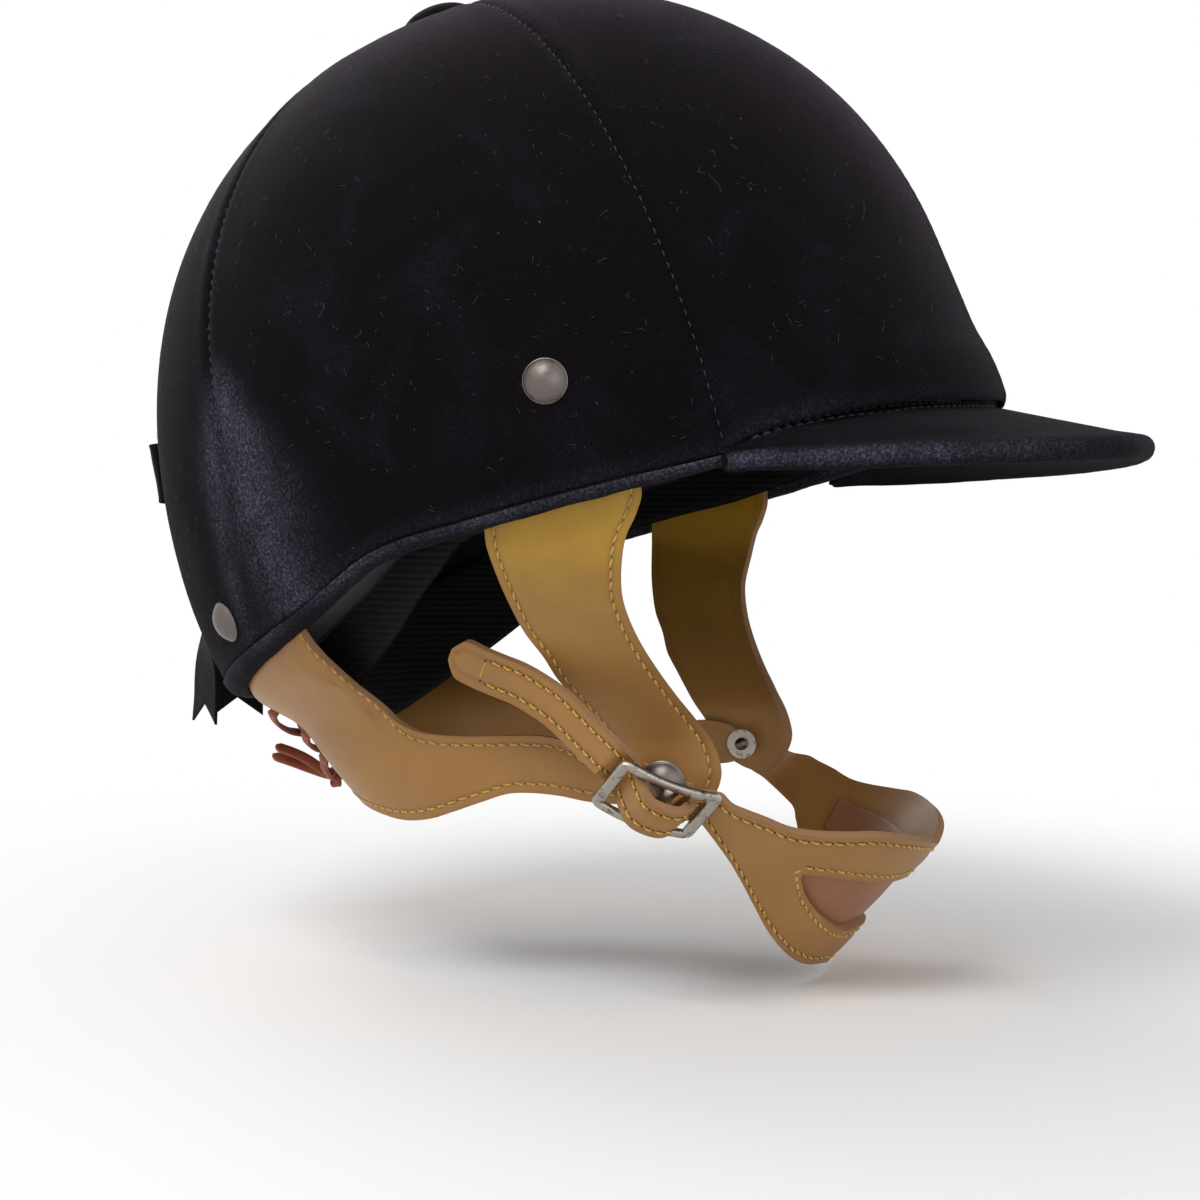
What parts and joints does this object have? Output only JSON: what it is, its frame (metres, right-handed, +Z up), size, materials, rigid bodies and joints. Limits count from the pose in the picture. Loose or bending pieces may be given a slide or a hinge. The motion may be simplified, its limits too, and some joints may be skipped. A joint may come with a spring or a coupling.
{
  "type": "riding helmet",
  "caption": "Velvet-covered riding helmet with a stiff peak, leather harness, chin strap with a cup and slide buckle, nape lacing and a ribbon bow.",
  "frame": {"origin": "middle of the head cavity, at the height of the crown's girth", "axes": "front of the helmet towards -Y, wearer's right towards -X, +Z up, as worn"},
  "size_m": [0.2192, 0.3182, 0.3028],
  "materials": {
    "velvet": "matte",
    "shell": "satin",
    "foam": "matte",
    "lining": "matte",
    "headband": "matte",
    "board": "matte",
    "leather": "satin",
    "cup": "satin",
    "lace": "satin",
    "nickel": "satin",
    "ribbon": "satin"
  },
  "bodies": {
    "helmet": {"cover_gores": "velvet", "shell": "shell", "liner": "foam", "crown_lining": "lining", "headband": "headband", "hem_binding": "velvet", "peak_core": "board", "peak_cover": "velvet", "front_pad": "foam", "button": "velvet", "button_shank": "nickel", "shell_rivets": "nickel", "rivet_washers": "nickel", "side_strap_right": "leather", "side_strap_left": "leather", "nape_strap_right": "leather", "nape_strap_left": "leather", "jaw_rivet_right": "nickel", "jaw_rivet_left": "nickel", "jaw_washers": "nickel", "nape_lace": "lace", "lace_knot": "lace", "lace_end_upper": "lace", "lace_end_lower": "lace", "bow_knot": "ribbon", "bow_loop_right": "ribbon", "bow_loop_left": "ribbon", "bow_tail_right": "ribbon", "bow_tail_left": "ribbon"},
    "chin": {"chin_strap": "leather", "chin_cup": "cup", "buckle_loop": "leather"},
    "buckle": {"buckle_frame": "nickel", "buckle_bar": "nickel"}
  },
  "joints": [
    {"name": "chin_swing", "type": "hinge", "parent": "helmet", "child": "chin", "pos_m": [0, -0.047, -0.1113], "axis": [-1, 0, 0], "range_deg": [-5, 30]},
    {"name": "buckle_tilt", "type": "hinge", "parent": "chin", "child": "buckle", "pos_m": [-0.07595, -0.04853, -0.1157], "axis": [-0.5101, -0.5828, 0.6326], "range_deg": [-3, 3]}
  ]
}
